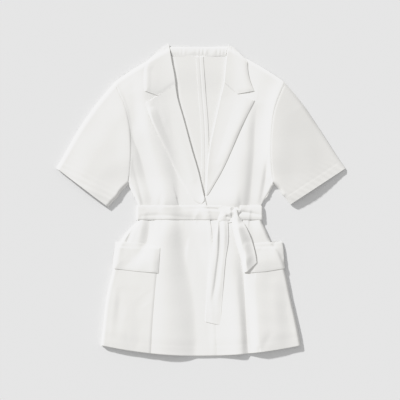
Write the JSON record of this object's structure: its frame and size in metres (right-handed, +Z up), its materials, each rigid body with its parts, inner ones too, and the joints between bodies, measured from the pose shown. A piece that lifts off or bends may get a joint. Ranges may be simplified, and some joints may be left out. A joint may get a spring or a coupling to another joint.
{
  "type": "short-sleeve belted jacket",
  "caption": "White short-sleeve blazer laid flat, with notched lapels, large flapped patch pockets and a tied cloth belt.",
  "frame": {"origin": "on the ground under the middle of the laid garment's box", "axes": "+Z up from the ground through the layers, +Y from the hem to the collar, +X to the wearer's left sleeve"},
  "size_m": [0.6812, 0.736, 0.019],
  "materials": {
    "body_cloth": "matt woven crepe",
    "sleeve_cloth": "matt woven crepe",
    "lapel_cloth": "matt woven crepe",
    "collar_cloth": "matt woven crepe",
    "pocket_cloth": "matt woven crepe",
    "belt_cloth": "matt woven crepe"
  },
  "bodies": {
    "root": {"back_left": "body_cloth", "back_right": "body_cloth", "front_left": "body_cloth", "front_right": "body_cloth", "sleeve_left_under": "sleeve_cloth", "sleeve_left_upper": "sleeve_cloth", "sleeve_right_under": "sleeve_cloth", "sleeve_right_upper": "sleeve_cloth", "lapel_left": "lapel_cloth", "lapel_right": "lapel_cloth", "collar_leaf_back": "collar_cloth", "collar_leaf_left": "collar_cloth", "collar_leaf_right": "collar_cloth", "collar_stand": "collar_cloth", "flap_left": "pocket_cloth", "flap_right": "pocket_cloth", "pocket_left": "pocket_cloth", "pocket_right": "pocket_cloth", "belt_back": "belt_cloth", "belt_knot": "belt_cloth", "belt_left": "belt_cloth", "belt_right": "belt_cloth", "belt_tail_long": "belt_cloth", "belt_tail_short": "belt_cloth"}
  },
  "joints": []
}
